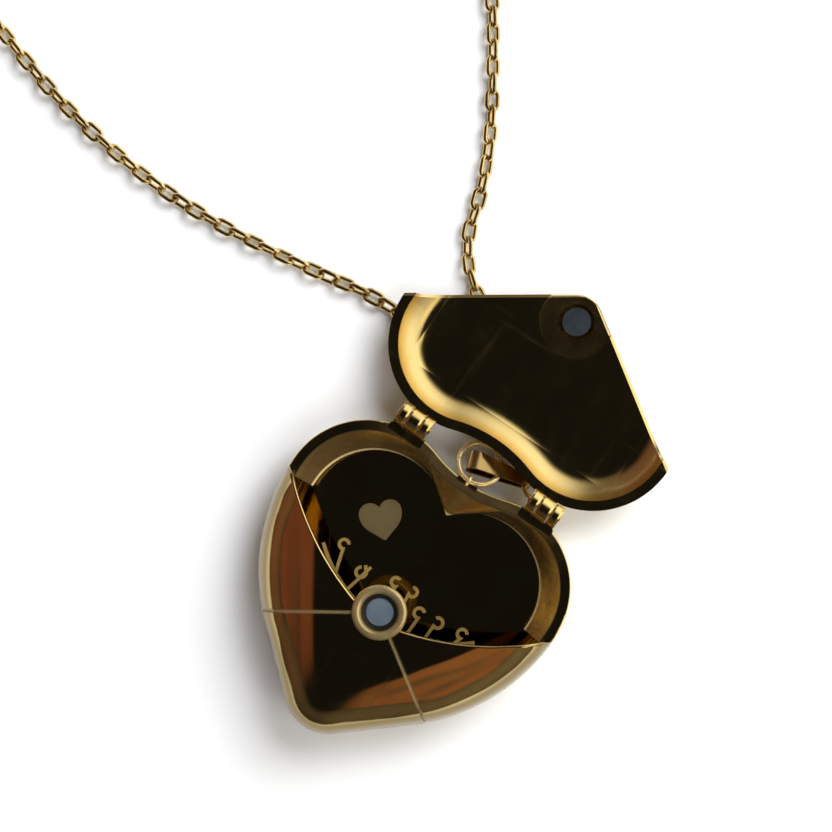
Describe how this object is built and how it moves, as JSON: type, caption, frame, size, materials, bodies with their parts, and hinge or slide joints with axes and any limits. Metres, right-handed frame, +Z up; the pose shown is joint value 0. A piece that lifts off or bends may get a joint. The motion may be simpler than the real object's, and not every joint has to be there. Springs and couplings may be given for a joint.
{
  "type": "envelope heart locket on a chain",
  "caption": "Open heart locket shaped like an envelope, with a hinged flap, magnet catch, jump ring, folded bail and a fine cable chain with a lobster clasp.",
  "frame": {"origin": "bottom centre of the open locket's box, on the surface that its back lies on; the chain and its fittings don't count", "axes": "+Z up out of the open case, +Y from the tip of the heart towards the lobes and the open lid, +X to the right"},
  "size_m": [0.0925, 0.0875, 0.0078],
  "materials": {
    "case_gold": "polished gold-tone plating with fine scratches",
    "lid_gold": "polished gold-tone plating, satin towards the rim",
    "bezel_gold": "warm satin gold-tone plating",
    "boss_gold": "polished gold-tone plating",
    "ornament_gold": "matt gold-tone plating",
    "wire_gold": "bright gold-tone wire",
    "bail_gold": "satin gold-tone sheet",
    "hinge_gold": "bright gold-tone plating, dark in the joints",
    "chain_gold": "gold-tone cable chain",
    "clasp_gold": "polished gold-tone casting",
    "magnet": "nickel-plated magnet, satin blue-grey",
    "pin_steel": "plain steel"
  },
  "bodies": {
    "case": {"back_shell": "case_gold", "case_eyelet": "wire_gold", "case_magnet": "magnet", "chain_left": "chain_gold", "chain_left_coil": "chain_gold", "chain_right": "chain_gold", "chain_right_coil": "chain_gold", "clasp_body": "clasp_gold", "clasp_pin": "pin_steel", "clasp_ring": "wire_gold", "clasp_spring": "pin_steel", "end_ring": "wire_gold", "floor_heart": "ornament_gold", "floor_scroll": "ornament_gold", "hinge_bracket_left": "hinge_gold", "hinge_bracket_right": "hinge_gold", "hinge_pin_left": "hinge_gold", "hinge_pin_right": "hinge_gold", "inner_bezel": "bezel_gold", "magnet_boss": "boss_gold", "pocket_front": "case_gold"},
    "lid": {"lid_shell": "lid_gold", "hinge_leaf_left": "hinge_gold", "hinge_leaf_right": "hinge_gold", "lid_magnet_cup": "boss_gold", "lid_magnet": "magnet"},
    "ring": {"jump_ring": "wire_gold"},
    "bail": {"bail": "bail_gold"},
    "chain_link": {"chain_ring": "wire_gold"},
    "lever": {"clasp_lever": "clasp_gold"}
  },
  "joints": [
    {"name": "lid_hinge", "type": "hinge", "parent": "case", "child": "lid", "pos_m": [0, 0.00475, 0.005], "axis": [1, 0, 0], "range_deg": [0, 180]},
    {"name": "ring_swing", "type": "hinge", "parent": "case", "child": "ring", "pos_m": [0, 0.00313, 0.00393], "axis": [1, 0, 0], "range_deg": [0, 5]},
    {"name": "bail_swing", "type": "hinge", "parent": "ring", "child": "bail", "pos_m": [0.0018, 0.0052, 0.003], "axis": [0.3221, -0.8726, 0.3672], "range_deg": [0, 5]},
    {"name": "link_swing", "type": "hinge", "parent": "bail", "child": "chain_link", "pos_m": [0.00396, 0.00566, 0.0022], "axis": [0.3221, -0.8726, 0.3672], "range_deg": [0, 8]},
    {"name": "clasp_trigger", "type": "hinge", "parent": "case", "child": "lever", "pos_m": [-0.06732, 0.00428, 0.001], "axis": [0, 0, 1], "range_deg": [0, 22], "stiffness_Nm_per_rad": 0.0002, "springref_deg": -17.19}
  ]
}
